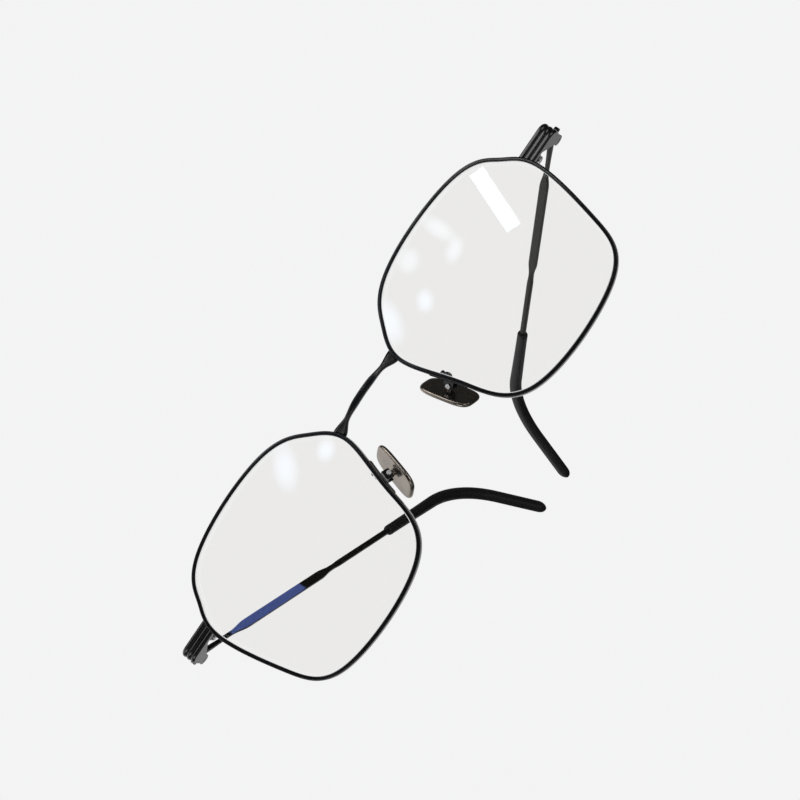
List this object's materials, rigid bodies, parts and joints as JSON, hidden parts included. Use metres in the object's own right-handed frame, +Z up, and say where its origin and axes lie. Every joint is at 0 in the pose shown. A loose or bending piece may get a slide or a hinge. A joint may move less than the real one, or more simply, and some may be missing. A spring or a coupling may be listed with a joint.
{
  "type": "eyeglasses",
  "caption": "Metal eyeglasses with rounded square lenses in thin grooved rims, fluted end pieces, folding temples on screw hinges and rocking nose pads.",
  "frame": {"origin": "on the surface that the rims and temple tips stand on, under the middle of the whole pair", "axes": "+X to the right as seen from the front, the wearer's left, +Y from the lenses back towards the temple tips, +Z up"},
  "size_m": [0.1378, 0.1253, 0.044],
  "materials": {
    "satin_black": "satin black coating over thin metal",
    "clear_lens": "clear, anti-reflection coated with a faint blue sheen",
    "bright_steel": "bright turned screws",
    "champagne": "satin champagne grey with polished edges",
    "matte_black": "matte black sleeve"
  },
  "bodies": {
    "front": {"rim_right": "satin_black", "rim_left": "satin_black", "lens_right": "clear_lens", "lens_left": "clear_lens", "bridge": "satin_black", "end_piece_right": "satin_black", "end_piece_left": "satin_black", "closing_block_right": "satin_black", "closing_block_left": "satin_black", "closing_screw_right": "bright_steel", "closing_screw_left": "bright_steel", "hinge_screw_right": "satin_black", "hinge_screw_left": "satin_black", "pad_arm_right": "satin_black", "pad_arm_left": "satin_black", "pad_box_right": "satin_black", "pad_box_left": "satin_black", "pad_screw_right": "bright_steel", "pad_screw_left": "bright_steel"},
    "temple_right": {"temple_right": "satin_black", "temple_tip_right": "matte_black"},
    "temple_left": {"temple_left": "satin_black", "temple_tip_left": "matte_black"},
    "pad_right": {"nose_pad_right": "champagne"},
    "pad_left": {"nose_pad_left": "champagne"}
  },
  "joints": [
    {"name": "temple_right_fold", "type": "hinge", "parent": "front", "child": "temple_right", "pos_m": [0.0666, -0.05304, 0.031], "axis": [0, 0.0953, 0.9954], "range_deg": [-27.67, 56.33]},
    {"name": "temple_left_fold", "type": "hinge", "parent": "front", "child": "temple_left", "pos_m": [-0.0666, -0.05304, 0.031], "axis": [0, -0.0953, -0.9954], "range_deg": [-27.67, 62.33]},
    {"name": "pad_right_rock", "type": "hinge", "parent": "front", "child": "pad_right", "pos_m": [0.01157, -0.05421, 0.01876], "axis": [0.5592, 0.8253, -0.079], "range_deg": [-12, 12]},
    {"name": "pad_left_rock", "type": "hinge", "parent": "front", "child": "pad_left", "pos_m": [-0.01157, -0.05421, 0.01876], "axis": [-0.5592, 0.8253, -0.079], "range_deg": [-12, 12]}
  ]
}
